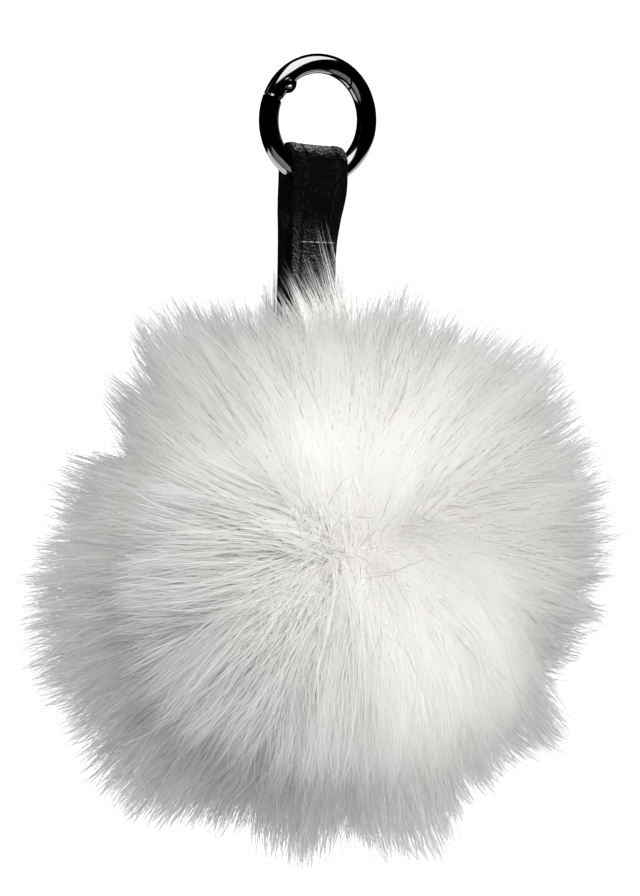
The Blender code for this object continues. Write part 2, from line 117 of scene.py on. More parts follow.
# ---- Ring: in its own frame it lies flat about its centre, with its gate at the top ----
GAP = 0.0003
RING_RADIUS = 0.0136
ROD_RADIUS = 0.0024
ROD_SIDES = 48
ROD_TURNS = [2.0 * pi * side / ROD_SIDES for side in range(ROD_SIDES)]
ROD_STEP = radians(2.5)
RING_TURN = Matrix.Rotation(radians(30.0), 3, "Y") @ Matrix.Rotation(radians(3.0), 3, "X")
RING_LEAN = math.acos((RING_TURN @ Vector((0.0, 0.0, 1.0))).z)
RING_CENTRE = Vector((0.0, 0.1095, RING_RADIUS * sin(RING_LEAN) + ROD_RADIUS))
HINGE = Vector((-0.00934, 0.00862, 0.0))
# A slanted cut across the rod: the angles round the ring of its inner and outer end
Slant = namedtuple("Slant", "inner outer")
NOSE = Slant(radians(43.0), radians(64.4))
GATE_TAIL = Slant(radians(154.2), radians(157.2))
BODY_END = Slant(radians(160.9), radians(158.8))
NECK_ANGLE = radians(158.4)
NECK_RADIUS = 0.0019
NOSE_GAP = 0.00066
CUT_MARGIN = radians(14.0)
CUT_SWEEP = radians(30.0)
CUT_PAST_SHARE = 0.2
EAR_RADIUS = 0.0025
EAR_HALF_HEIGHT = 0.0013
FLAT_TOP_ANGLE = radians(134.0)
RIVET_POCKET_RADIUS = 0.0019
SLOT_HALF_HEIGHT = 0.0008
SLOT_LENGTH = 0.012
SLOT_WIDTH = 0.014
TONGUE_HALF_HEIGHT = 0.0005
TONGUE_END_RADIUS = 0.0018
TONGUE_ROOT_HALF_WIDTH = 0.0014
TONGUE_ROOT_DEPTH = radians(6.0)
PIN_SIDES = 48
PIN_TURNS = [2.0 * pi * side / PIN_SIDES for side in range(PIN_SIDES)]
RIVET_RADIUS = 0.0007
METAL_EDGE_ROUND = 0.00012
# The rivet head's rolled rim and dimple, from its outer edge inward: radius, and height over its seat
RIVET_HEAD = (
    (0.00138, 0.00002), (0.00142, 0.00014), (0.00138, 0.00029), (0.00127, 0.00041), (0.00112, 0.00046),
    (0.00096, 0.00042), (0.00082, 0.00028), (0.00072, 0.00018), (0.00050, 0.00012), (0.00015, 0.00010),
)

# ---- Fur ----
FUR_CENTRE = np.array((0.0, 0.0010, 0.0500))
CORE_RADIUS = 0.0430
ROOT_RADIUS = 0.0415
TOP_REACH = 0.0600
SHELF_REACH = 0.0530
FRONT_REACH = 0.0635
DOME = 0.0600
POINTS = 6
PATH_STEPS = 12
FLOOR_CLEARANCE = 0.0004
FLOOR_LAYER = 0.0012
STRAP_HAIR_GAP = 0.0004
STRAP_HAIR_CHECKS = 4
SHELF_SIDE = radians(228.0)
COMB_BLUR = 2.5e-5
FIRST_SEED = 100
TUFTS_SEED = 300
# How the fur is shaded: where it looks smoothest, how far apart its surface is sampled, how much its bulges show,
# and how far the finest and the roughest fur is shaded as one surface
SMOOTH_SIDE = radians(60.0)
SURFACE_STEP = 0.02
RELIEF_SHOWN = 1.6
FINEST = 0.95
ROUGHEST = 0.45
# A direction that no strand, thread or axis runs along
ASKEW = (0.31, 0.17, 0.93)

# The bulges and hollows of the top, seen from above: a hollow at the right, beside a soft ridge
Bulge = namedtuple("Bulge", "x y size height")
BULGES = (Bulge(0.044, 0.002, 0.013, -0.0022), Bulge(0.024, 0.004, 0.014, 0.0016))

# Locks about the strap: where they leave the ball, where they end, seen from above, how high they end over the
# strap or the floor, how many there are, and how far those stand apart at their ends
Tuft = namedtuple("Tuft", "root x y height locks apart")
TUFTS = [Tuft(*row) for row in (
    ((0.0115, 0.042, 0.050), 0.0005, 0.0870, 0.0030, 1, 0.0006),
    ((0.0110, 0.042, 0.050), -0.0002, 0.0855, 0.0030, 1, 0.0006),
    ((0.0110, 0.043, 0.048), 0.0035, 0.0790, 0.0025, 2, 0.0012),
    ((0.0105, 0.041, 0.050), -0.0069, 0.0781, 0.0022, 2, 0.0010),
    ((0.0095, 0.041, 0.050), -0.0092, 0.0768, 0.0022, 2, 0.0010),
    ((0.0110, 0.042, 0.049), -0.0030, 0.0765, 0.0025, 4, 0.0022),
    ((0.0115, 0.042, 0.047), 0.0020, 0.0745, 0.0025, 9, 0.0022),
    ((0.0090, 0.041, 0.049), -0.0065, 0.0725, 0.0025, 12, 0.0026),
    ((0.0080, 0.041, 0.049), -0.0010, 0.0705, 0.0030, 18, 0.0032),
    ((0.0060, 0.041, 0.049), -0.0085, 0.0690, 0.0030, 18, 0.0030),
    ((0.0050, 0.040, 0.050), -0.0040, 0.0670, 0.0035, 22, 0.0034),
)]
# The way that the tufts are shaded to face
TUFTS_FACE = (0.1, 0.2, 0.97)
TUFT_ROOT_SPREAD = 0.0015
TUFT_MIDDLE = 0.45
TUFT_LIFT = {True: 0.004, False: 0.002}
# Locks that stand up on both sides of the strap, a little behind it
SIDE_TUFTS = [Tuft(*row) for row in (
    ((-0.0090, 0.044, 0.024), -0.0108, 0.0785, 0.0120, 4, 0.0012),
    ((-0.0100, 0.044, 0.026), -0.0122, 0.0745, 0.0140, 6, 0.0020),
    ((-0.0110, 0.044, 0.028), -0.0130, 0.0700, 0.0160, 8, 0.0026),
    ((0.0060, 0.044, 0.018), 0.0050, 0.0790, 0.0080, 4, 0.0010),
    ((0.0070, 0.044, 0.020), 0.0062, 0.0745, 0.0090, 6, 0.0018),
    ((0.0080, 0.044, 0.022), 0.0075, 0.0690, 0.0110, 8, 0.0024),
)]

# How far something reaches from the middle of the ball, seen from above, anticlockwise from +X
Reach = namedtuple("Reach", "degrees metres")
OUTLINE = [Reach(*row) for row in (
    (0, 0.0710), (11, 0.0735), (24, 0.0752), (32, 0.0765), (42, 0.0796),
    (49, 0.0780), (56, 0.0717), (65, 0.0712), (72, 0.0745), (84, 0.0630),
    (98, 0.0645), (109, 0.0697), (118, 0.0750), (126, 0.0780), (132, 0.0661),
    (138, 0.0712), (144, 0.0570), (150, 0.0545), (156, 0.0690), (162, 0.0655),
    (170, 0.0675), (180, 0.0714), (190, 0.0730), (204, 0.0745), (211, 0.0715),
    (218, 0.0745), (236, 0.0756), (241, 0.0675), (247, 0.0675), (253, 0.0632),
    (258, 0.0640), (264, 0.0740), (270, 0.0685), (276, 0.0628), (283, 0.0714),
    (294, 0.0765), (301, 0.0680), (313, 0.0662), (319, 0.0672), (325, 0.0728),
    (331, 0.0700), (336, 0.0595), (342, 0.0660), (351, 0.0700), (360, 0.0710),
)]
# Where the long front fur ends, over the shorter fur below it
FRONT_EDGE = [Reach(*row) for row in (
    (0, 0.030), (40, 0.036), (90, 0.042), (130, 0.046), (160, 0.049),
    (180, 0.050), (200, 0.051), (215, 0.054), (230, 0.056), (245, 0.052),
    (260, 0.054), (275, 0.056), (290, 0.057), (303, 0.0595), (315, 0.048),
    (330, 0.034), (360, 0.030),
)]

# How the top of the ball is combed: where, seen from above, and which way its fur points
Comb = namedtuple("Comb", "x y heading")
COMBS = [Comb(*row) for row in (
    (-0.0135, 0.0175, 166), (-0.0320, 0.0200, 163), (-0.0205, 0.0035, 182), (-0.0345, -0.006, 188),
    (-0.0110, -0.006, 214), (-0.0275, -0.020, 222), (-0.0040, -0.0105, 250), (-0.0160, -0.020, 238),
    (0.0005, -0.029, 267), (0.0190, -0.029, 274), (0.0100, -0.006, 268), (0.0280, -0.015, 286),
    (0.0380, -0.006, 302), (0.0470, -0.0245, 303), (0.0560, 0.0035, 345), (0.0520, 0.022, 8),
    (0.0420, 0.041, 40), (0.0260, 0.036, 58), (0.0075, 0.041, 93), (-0.0040, 0.0315, 115),
    (-0.0230, 0.041, 130), (-0.0275, 0.0315, 145), (0.0030, 0.0230, 110), (0.0200, 0.0230, 80),
    (0.0300, 0.0080, 300),
)]


# ---- The fur: a ray is a direction out of the middle of the ball ----


def unit(vectors):
    return vectors / np.maximum(np.linalg.norm(vectors, axis=-1, keepdims=True), 1e-12)


def smooth_step(low, high, values):
    share = np.clip((values - low) / (high - low), 0.0, 1.0)
    return share * share * (3.0 - 2.0 * share)


def azimuth(rays):
    return np.degrees(np.arctan2(rays[..., 1], rays[..., 0])) % 360.0


def reach_at(table, degrees):
    return np.interp(degrees, [row.degrees for row in table], [row.metres for row in table])


def fur_reach(rays):
    """How far the fur's surface is from the middle of the ball: on the lower left it steps in above a shelf."""
    level = np.hypot(rays[:, 0], rays[:, 1])
    outline = reach_at(OUTLINE, azimuth(rays))
    full = TOP_REACH + (outline - TOP_REACH) * level**3
    shelf = SHELF_REACH + (outline - SHELF_REACH) * level**7
    towards = (rays[:, 0] * cos(SHELF_SIDE) + rays[:, 1] * sin(SHELF_SIDE)) / (level + 1e-9)
    share = smooth_step(0.0, 0.45, towards) * smooth_step(-0.2, 0.1, rays[:, 2])
    return full + (shelf - full) * share + relief(rays)


def seen_from_above(rays):
    """Where the rays point on the dome of the top."""
    return rays[:, 0] * DOME, rays[:, 1] * DOME


def relief(rays):
    """How much the bulges and hollows of the top raise the fur's surface."""
    x, y = seen_from_above(rays)
    rise = 0.0
    for bulge in BULGES:
        away = (x - bulge.x) ** 2 + (y - bulge.y) ** 2
        rise = rise + np.exp(-away / (2.0 * bulge.size * bulge.size)) * bulge.height
    return smooth_step(0.0, 0.35, rays[:, 2]) * rise


def comb_heading(rays):
    """The level way that the fur of the top lies at each place."""
    x, y = seen_from_above(rays)
    east, north = 0.0, 0.0
    for comb in COMBS:
        weight = 1.0 / (((x - comb.x) ** 2 + (y - comb.y) ** 2) + COMB_BLUR) ** 2
        heading = radians(comb.heading)
        east = east + weight * cos(heading)
        north = north + weight * sin(heading)
    return unit(np.stack([east, north, np.zeros_like(east)], axis=1))


def flow(rays, astray):
    """The way that the fur lies, square to the ball: combed on top, and hanging down at the sides."""
    on_top = smooth_step(0.0, 0.5, rays[:, 2])[:, None]
    down = np.array((0.0, 0.0, -1.0))
    wanted = comb_heading(rays) * on_top + down * (1.0 - 0.8 * on_top) + astray
    return unit(wanted - rays * np.sum(wanted * rays, axis=1, keepdims=True))


def spread_rays(count, rng, jitter=0.6):
    """Rays spread evenly over a sphere."""
    index = np.arange(count) + 0.5
    height = 1.0 - 2.0 * index / count
    turn = index * pi * (3.0 - math.sqrt(5.0))
    level = np.sqrt(1.0 - height * height)
    rays = np.stack([level * np.cos(turn), level * np.sin(turn), height], axis=1)
    spacing = math.sqrt(4.0 * pi / count)
    return unit(rays + rng.normal(0.0, jitter * spacing * 0.5, rays.shape))


def lock_paths(roots, sweep, reach_of, rng, wander, rise):
    """Each lock's course from its root: it leans over along the flow while it rises to its reach."""
    astray = rng.normal(0.0, wander, roots.shape)
    rays = [roots]
    for step in range(PATH_STEPS - 1):
        share = ((step + 1) / (PATH_STEPS - 1)) ** 1.3 - (step / (PATH_STEPS - 1)) ** 1.3
        here = rays[-1]
        rays.append(unit(here + flow(here, astray) * np.tan(sweep * share)[:, None]))
    reach = reach_of(rays[-1])
    paths = np.empty((len(roots), PATH_STEPS, 3))
    for step, direction in enumerate(rays):
        t = step / (PATH_STEPS - 1)
        radius = ROOT_RADIUS + (reach - ROOT_RADIUS) * (1.0 - (1.0 - t) ** rise)
        paths[:, step] = direction * radius[:, None]
    return paths


def strand_points(paths, coat, rng):
    """Points along each strand, from root to tip: strands of one lock close up towards its tip."""
    which = np.repeat(np.arange(len(paths)), coat.strands)
    count = len(which)
    share = coat.shortest + (1.0 - coat.shortest) * rng.random(count) ** 0.7
    across = rng.normal(0.0, coat.spread, (count, 3))
    phase = rng.uniform(0.0, 2.0 * pi, count)
    bend = unit(rng.normal(0.0, 1.0, (count, 3)))
    t = share[:, None] * np.arange(POINTS) / (POINTS - 1)
    place = t * (PATH_STEPS - 1)
    low = np.minimum(place.astype(int), PATH_STEPS - 2)
    blend = (place - low)[..., None]
    centre = paths[which[:, None], low] * (1.0 - blend) + paths[which[:, None], low + 1] * blend
    closing = (1.0 - coat.clump * t**1.2)[..., None]
    wave = coat.frizz * (np.sin(phase[:, None] + 2.2 * t * pi) * t**1.3)[..., None]
    return FUR_CENTRE + centre + across[:, None] * closing + bend[:, None] * wave, which


def rest_on_floor(points, rng):
    """Fur that would go through the floor lies down on it."""
    level = FLOOR_CLEARANCE + FLOOR_LAYER * rng.random((len(points), 1))
    under = points[:, :, 2] < level
    sunk = np.where(under, level - points[:, :, 2], 0.0)
    outward = unit(points[:, :, :2] - FUR_CENTRE[:2])
    points[:, :, :2] += outward * (0.35 * sunk)[:, :, None]
    points[:, :, 2] = np.where(under, level, points[:, :, 2])
    return points


def ribbon_mesh(name, points, which, rng, width, roll, surface=None):
    """One mesh of narrow tapering ribbons, one along each row of points, broad side outward.

    They are shaded partly as the surface that they make up, which faces away from the ball or as given.
    """
    count, steps, _ = points.shape
    tangent = np.gradient(points, axis=1)
    outward = unit(points - FUR_CENTRE)
    facing = outward + roll * unit(rng.normal(0.0, 1.0, (count, 1, 3)))
    side = unit(np.cross(tangent, facing))
    along = np.linspace(0.0, 1.0, steps)
    widths = width * rng.uniform(0.7, 1.3, (count, 1)) * (1.0 - along[None, :]) ** 0.55
    offset = side * (0.5 * widths)[:, :, None]
    left, right = points[:, :-1] - offset[:, :-1], points[:, :-1] + offset[:, :-1]
    pairs = np.stack([left, right], axis=2).reshape(count, 2 * (steps - 1), 3)
    verts = np.concatenate([pairs, points[:, -1:]], axis=1)
    per = verts.shape[1]
    quads = [(2 * k, 2 * k + 1, 2 * k + 3, 2 * k + 2) for k in range(steps - 2)]
    loops = np.array([corner for quad in quads for corner in quad] + [per - 3, per - 2, per - 1])
    all_loops = (loops[None, :] + per * np.arange(count)[:, None]).reshape(-1)
    sizes = np.tile(np.array([4] * (steps - 2) + [3]), count)
    starts = np.concatenate([[0], np.cumsum(sizes)[:-1]])
    mesh = bpy.data.meshes.new(name)
    mesh.vertices.add(count * per)
    mesh.vertices.foreach_set("co", verts.reshape(-1).astype(np.float32))
    mesh.loops.add(len(all_loops))
    mesh.loops.foreach_set("vertex_index", all_loops.astype(np.int32))
    mesh.polygons.add(len(sizes))
    mesh.polygons.foreach_set("loop_start", starts.astype(np.int32))
    mesh.polygons.foreach_set("use_smooth", np.ones(len(sizes), dtype=bool))
    mesh.update(calc_edges=True)
    soft = fineness(points[:, -1] - FUR_CENTRE)[:, None, None]
    if surface is None:
        surface = surface_normals(outward[:, -1])[:, None, :]
    normals = unit(unit(facing) * (1.0 - soft) + surface * soft)
    normals = np.concatenate([np.repeat(normals[:, :-1], 2, axis=1), normals[:, -1:]], axis=1)
    shaded = mesh.attributes.new("custom_normal", "FLOAT_VECTOR", "POINT")
    shaded.data.foreach_set("vector", normals.reshape(-1).astype(np.float32))
    lock_tone = rng.random(which.max() + 1)
    shade = 0.5 * lock_tone[which] + 0.5 * rng.random(count)
    add_values(mesh, "tone", np.repeat(shade, per))
    add_values(mesh, "along", np.tile(np.concatenate([np.repeat(along[:-1], 2), [1.0]]), count))
    return place_object(name, mesh)


def surface_normals(rays):
    """The way that the fur's whole surface faces, with its bulges and hollows."""
    level = unit(np.cross(rays, np.array(ASKEW)))
    other = np.cross(rays, level)
    places = [rays, unit(rays + SURFACE_STEP * level), unit(rays + SURFACE_STEP * other)]
    here, beside, above = (place * smooth_reach(place)[:, None] for place in places)
    return unit(np.cross(beside - here, above - here))


def smooth_reach(rays):
    """The fur's surface without its ragged outline: the ball, with the bulges and hollows of its top."""
    return DOME + RELIEF_SHOWN * relief(rays)


def fineness(rays):
    """How smooth the fur looks: 1 where it is finest, above and at the right, and least at the lower left."""
    level = unit(rays)
    across = level[..., 0] * cos(SMOOTH_SIDE) + level[..., 1] * sin(SMOOTH_SIDE)
    return ROUGHEST + (FINEST - ROUGHEST) * smooth_step(-0.45, 0.25, across)


def place_object(name, data):
    obj = bpy.data.objects.new(name, data)
    bpy.context.scene.collection.objects.link(obj)
    return obj


def add_values(mesh, name, values):
    attribute = mesh.attributes.new(name, "FLOAT", "POINT")
    attribute.data.foreach_set("value", values.astype(np.float32))


# A coat of fur: how many locks it has and the strands in each, a strand's width and how much it is turned, how
# far a lock's strands stand apart, close up and wave, the shortest one's share of the length, the lock's reach and
# its unevenness, and its lean in degrees and how far it strays from the combed way
Coat = namedtuple("Coat", "name zone locks strands width roll spread clump frizz shortest reach noise lean wander")
COATS = [Coat(*row) for row in (
    ("fur_under", "all", 2700, 7, 0.00042, 0.8, 0.0019, 0.10, 0.0006, 0.55, 0.90, 0.10, 12, 0.15),
    ("fur_body", "all", 1750, 12, 0.00029, 0.7, 0.0021, 0.45, 0.0007, 0.60, 1.00, 0.10, 16, 0.15),
    ("fur_edge", "side", 1300, 14, 0.00026, 0.9, 0.0017, 0.60, 0.0006, 0.65, 1.01, 0.08, 13, 0.12),
    ("fur_front", "front_left", 1450, 14, 0.00027, 0.6, 0.0019, 0.55, 0.0008, 0.50, 1.00, 0.10, 0, 0.14),
    ("fur_over", "front_right", 1450, 14, 0.00027, 0.6, 0.0019, 0.45, 0.0008, 0.50, 1.00, 0.10, 0, 0.14),
    ("fur_crown", "crown", 300, 13, 0.00025, 0.8, 0.0021, 0.35, 0.0016, 0.55, 1.00, 0.10, 14, 0.90),
    ("fur_guard", "upper", 1800, 6, 0.00022, 0.8, 0.0020, 0.40, 0.0012, 0.70, 1.05, 0.09, 17, 0.22),
)]
# The locks about the strap have courses of their own, so only the strands' values count here
TUFT_COAT = Coat("fur_tufts", "strap", 0, 9, 0.00020, 0.7, 0.0011, 0.55, 0.0005, 0.72, 1.0, 0.0, 0, 0.0)


# The share of all rays that is spread for each zone's locks
ZONE_SHARES = {"all": 1.0, "side": 0.60, "front_left": 0.16, "front_right": 0.16, "crown": 0.06, "upper": 0.75}
# The combed ways, in degrees, between which the fur of the top turns from smooth to stranded, and back
STRANDED_FROM = (105.0, 150.0)
STRANDED_TO = (235.0, 285.0)


def in_oval(x, y, centre, size):
    return ((x - centre[0]) / size[0]) ** 2 + ((y - centre[1]) / size[1]) ** 2 < 1.0


def zone_roots(coat, rng):
    """Lock roots for a coat: all over, round the sides, on one side of the parting, about it, or not below."""
    roots = spread_rays(int(coat.locks / ZONE_SHARES[coat.zone]), rng)
    height = roots[:, 2]
    x, y = seen_from_above(roots)
    about_parting = in_oval(x, y, (0.004, -0.002), (0.040, 0.027)) & (height > 0.0)
    combed = azimuth(comb_heading(roots))
    left_share = smooth_step(*STRANDED_FROM, combed) * (1.0 - smooth_step(*STRANDED_TO, combed))
    combed_left = left_share > rng.random(len(roots))
    inside = {
        "all": height > -2.0,
        "side": np.abs(height) < 0.60,
        "front_left": about_parting & combed_left,
        "front_right": about_parting & ~combed_left,
        "crown": in_oval(x, y, (0.010, 0.002), (0.026, 0.018)) & (height > 0.0),
        "upper": height > -0.50,
    }[coat.zone]
    return roots[inside]


def front_sweep(roots, rng):
    """How far round the ball the front fur lies over: up to the front edge on its heading."""
    heading = comb_heading(roots)
    edge = reach_at(FRONT_EDGE, azimuth(heading))
    forward = np.sum(roots * heading, axis=1) * DOME
    to_edge = np.arcsin(np.clip(edge / FRONT_REACH, 0.0, 0.97)) - np.arcsin(np.clip(forward / DOME, -0.9, 0.9))
    return np.clip(to_edge, 0.12, 1.1) * (1.0 - 0.30 * rng.random(len(roots)) ** 1.5)


def coat_paths(coat, roots, rng):
    """The courses of a coat's locks: the crown's stand up, the front's lie over, and the others lean a little."""
    uneven = coat.reach - coat.noise * rng.random(len(roots)) ** 2
    surface, rise = fur_reach, 1.3
    if coat.zone == "crown":
        sweep = np.radians(coat.lean) * rng.uniform(0.5, 1.5, len(roots))
        surface = crown_reach
    elif coat.zone in ("front_left", "front_right"):
        sweep = front_sweep(roots, rng)
        surface, rise = front_reach, 1.7
    else:
        sweep = np.radians(coat.lean) * rng.uniform(0.7, 1.3, len(roots))
        sweep = sweep * (1.0 + 0.5 * smooth_step(0.3, -0.6, roots[:, 2]))
    return lock_paths(roots, sweep, lambda tips: surface(tips) * uneven, rng, coat.wander, rise)


def crown_reach(_):
    return FRONT_REACH


def front_reach(rays):
    return FRONT_REACH + relief(rays)


def tuft_paths(tufts, over_strap, rng):
    """The courses of the locks about the strap: up out of the ball, and down to just over what they lie on."""
    paths = []
    for tuft in tufts:
        for _ in range(tuft.locks):
            root = np.array(tuft.root) + rng.normal(0.0, TUFT_ROOT_SPREAD, 3)
            tip = np.array((tuft.x, tuft.y, 0.0)) + rng.normal(0.0, tuft.apart, 3)
            tip[2] = tuft.height * rng.uniform(0.7, 1.3) + (strap_top(tip) if over_strap else 0.0)
            middle = TUFT_MIDDLE * root + (1.0 - TUFT_MIDDLE) * tip
            middle[2] = max(middle[2], strap_top(middle) if over_strap else 0.0) + TUFT_LIFT[over_strap]
            t = np.linspace(0.0, 1.0, PATH_STEPS)[:, None]
            paths.append((1.0 - t) ** 2 * root + 2.0 * t * (1.0 - t) * middle + t * t * tip - FUR_CENTRE)
    return np.array(paths)


def strap_at(y):
    """The strap's middle, its twist in radians, its layers' distance from the middle, and its slope, this far up."""
    route = strap_route()
    middle_x, middle_z, twist, apart = (np.interp(y, route[:, 1], route[:, column]) for column in (0, 2, 3, 4))
    slope = np.interp(y, route[:, 1], np.gradient(route[:, 2], route[:, 1]))
    return middle_x, middle_z, np.radians(twist), apart, slope


def strap_top(place):
    """How high the strap's outer face is at a place seen from above."""
    middle_x, middle_z, turn, apart, _ = strap_at(place[1])
    half = 0.5 * STRAP_WIDTH * cos(turn)
    beside = np.clip(place[0] - middle_x, -half, half)
    return middle_z - beside * math.tan(turn) + (apart + 0.5 * STRAP_THICKNESS) / cos(turn)


def clear_of_strap(points):
    """Which strands keep clear of the strap all along."""
    steps = np.linspace(0.0, 1.0, STRAP_HAIR_CHECKS)[:-1, None]
    near, far = points[:, :-1, None, :], points[:, 1:, None, :]
    places = (near + (far - near) * steps).reshape(len(points), -1, 3)
    places = np.concatenate([places, points[:, -1:]], axis=1)
    middle_x, middle_z, turn, apart, slope = strap_at(places[..., 1])
    right, up = places[..., 0] - middle_x, (places[..., 2] - middle_z) * np.cos(np.arctan(slope))
    beside = right * np.cos(turn) - up * np.sin(turn)
    above = right * np.sin(turn) + up * np.cos(turn)
    within = np.abs(beside) < 0.5 * STRAP_WIDTH + STRAP_SLIP + STRAP_HAIR_GAP
    within &= places[..., 1] > strap_stations()[0].y
    within &= np.abs(above) < apart + 0.5 * STRAP_THICKNESS + STRAP_HAIR_GAP
    return ~within.any(axis=1)


def make_coat(coat, points, which, rng, material, surface=None):
    """A coat's strands as one piece, without those that would go through the strap."""
    kept = clear_of_strap(points)
    piece = ribbon_mesh(coat.name, points[kept], which[kept], rng, coat.width, coat.roll, surface)
    piece.data.materials.append(material)
    return piece


def make_fur(material):
    """All coats, and the few locks about the strap."""
    pieces = []
    for number, coat in enumerate(COATS):
        rng = np.random.default_rng(FIRST_SEED + number)
        roots = zone_roots(coat, rng)
        points, which = strand_points(coat_paths(coat, roots, rng), coat, rng)
        pieces.append(make_coat(coat, rest_on_floor(points, rng), which, rng, material))
    rng = np.random.default_rng(TUFTS_SEED)
    paths = np.concatenate([tuft_paths(TUFTS, True, rng), tuft_paths(SIDE_TUFTS, False, rng)])
    points, which = strand_points(paths, TUFT_COAT, rng)
    return pieces + [make_coat(TUFT_COAT, points, which, rng, material, np.array(TUFTS_FACE))]


def make_core(material):
    """The lumpy ball of cloth that the fur grows on."""
    bm = bmesh.new()
    bmesh.ops.create_icosphere(bm, subdivisions=5, radius=1.0)
    for vert in bm.verts:
        direction = vert.co.normalized()
        lump = 1.0 + 0.012 * sin(9.0 * direction.x + 4.0 * direction.y) * cos(8.0 * direction.z)
        vert.co = Vector(FUR_CENTRE) + direction * (CORE_RADIUS * lump)
    return add_object("fur_core", bm, material)


# ---- The strap ----


def spline(t, before, start, stop, after):
    """A Catmull-Rom curve's value between start and stop."""
    linear = 0.5 * (stop - before)
    square = before - 2.5 * start + 2.0 * stop - 0.5 * after
    cube = 1.5 * (start - stop) + 0.5 * (after - before)
    return start + t * (linear + t * (square + t * cube))


def in_ring_plane(x, y):
    """The point of the ring's own plane at this place."""
    normal = RING_TURN @ Vector((0.0, 0.0, 1.0))
    rise = (normal.x * (RING_CENTRE.x - x) + normal.y * (RING_CENTRE.y - y)) / normal.z
    return x, y, RING_CENTRE.z + rise


# A station between the strap's two layers: where it is, its twist in degrees, each layer's distance from it, and
# how far the upper layer has slipped to the right and the lower one to the left
Station = namedtuple("Station", "x y z twist apart slip")
# A row across the strip: its middle, and the directions across it and out of its outer side
Row = namedtuple("Row", "middle sideways out")


def strap_stations():
    close = 0.5 * (STRAP_THICKNESS + STRAP_LAYER_GAP)
    wide = ROD_RADIUS + LOOP_GAP + 0.5 * STRAP_THICKNESS
    return [
        Station(-0.0029, 0.0405, 0.0320, 40.0, close, STRAP_SLIP),
        Station(-0.0029, 0.0600, 0.0231, 44.0, close, STRAP_SLIP),
        Station(-0.0026, 0.0790, 0.0150, 43.0, close, STRAP_SLIP),
        Station(-0.0021, 0.0865, 0.0115, 37.0, LOOP_NECK_SHARE * wide, LOOP_NECK_SLIP),
        Station(*in_ring_plane(-0.0013, 0.0930), 31.0, wide, 0.0),
        Station(*in_ring_plane(-0.0011, LOOP_CENTRE_Y), 30.0, wide, 0.0),
    ]


def strap_route():
    """Rows of a station's numbers, along a smooth curve through the stations."""
    table = np.array(strap_stations())
    padded = np.vstack([2.0 * table[0] - table[1], table, 2.0 * table[-1] - table[-2]])
    route = []
    for start in range(1, len(padded) - 2):
        for step in range(ROUTE_STEPS):
            route.append(spline(step / ROUTE_STEPS, *padded[start - 1:start + 3]))
    return np.array(route + [table[-1]])


def strap_rows():
    """Rows across the strip: out of the ball on top, round the rod, and back underneath."""
    stations = [Station(*values) for values in strap_route()]
    upper, lower = [], []
    for before, here, after in zip([stations[0]] + stations, stations, stations[1:] + [stations[-1]]):
        slope = atan2(after.z - before.z, after.y - before.y)
        turn = Matrix.Rotation(slope, 3, "X") @ Matrix.Rotation(radians(here.twist), 3, "Y")
        middle = Vector((here.x, here.y, here.z))
        sideways, up = turn.col[0], turn.col[2]
        away = up * here.apart + sideways * here.slip
        upper.append(Row(middle + away, sideways, up))
        lower.append(Row(middle - away, sideways, -up))
    centre = 0.5 * (upper[-1].middle + lower[-1].middle)
    last = upper[-1]
    ahead = last.out.cross(last.sideways)
    loop = []
    for step in range(1, LOOP_STEPS):
        angle = 0.5 * pi - pi * step / LOOP_STEPS
        out = ahead * cos(angle) + last.out * sin(angle)
        loop.append(Row(centre + out * stations[-1].apart, last.sideways, out))
    return upper + loop + lower[::-1]


def on_strap(row, beside, above):
    """The place beside a row's middle, and above its outer side's middle plane."""
    skew = LOOP_SKEW * float(smooth_step(LOOP_SKEW_START_Y, LOOP_SKEW_END_Y, row.middle.y))
    return row.middle + row.sideways * beside + row.out * above - Vector((0.0, skew * beside, 0.0))


def outer_height(beside):
    """The outer face's height over the middle plane: beads along both edges, each with a sewn groove inside it."""
    level = abs(beside)
    bead = BEAD_HEIGHT * math.exp(-(((level - BEAD_PLACE) / BEAD_WIDTH) ** 2))
    groove = GROOVE_DEPTH * math.exp(-(((level - GROOVE_PLACE) / GROOVE_WIDTH) ** 2))
    lip = 0.4 * BEAD_HEIGHT * math.exp(-(((level - LIP_PLACE) / GROOVE_WIDTH) ** 2))
    return 0.5 * STRAP_THICKNESS + bead + lip - groove


def strap_outline():
    """The strip's outline across its width, anticlockwise from its right edge: (beside, above)."""
    half = 0.5 * STRAP_WIDTH
    corner = half - 0.5 * STRAP_THICKNESS
    across = np.linspace(1.0, -1.0, OUTER_POINTS) * corner
    outline = [(beside, outer_height(beside)) for beside in across]
    for angle in np.linspace(0.0, pi, EDGE_POINTS)[1:-1]:
        seam = 1.0 - EDGE_SEAM * math.exp(-(((angle - 0.55 * pi) / 0.22) ** 2))
        high = outer_height(corner) if angle < 0.5 * pi else 0.5 * STRAP_THICKNESS
        outline.append((-corner - 0.5 * STRAP_THICKNESS * sin(angle) * seam, high * cos(angle)))
    outline += [(beside, -0.5 * STRAP_THICKNESS) for beside in np.linspace(-corner, corner, INNER_POINTS)]
    edge = outline[OUTER_POINTS:OUTER_POINTS + EDGE_POINTS - 2]
    return outline + [(-beside, above) for beside, above in reversed(edge)]


def loft(name, rows, material=None):
    """A closed skin over rows of points, each a closed outline."""
    bm = bmesh.new()
    skin(bm, [[bm.verts.new(point) for point in row] for row in rows])
    return add_object(name, bm, material)


def skin(bm, rings):
    """Faces from each closed ring of corners to the next, and one on each end."""
    for near, far in zip(rings, rings[1:]):
        for index in range(len(near)):
            after = (index + 1) % len(near)
            bm.faces.new((near[index], near[after], far[after], far[index]))
    bm.faces.new(rings[0])
    bm.faces.new(rings[-1])


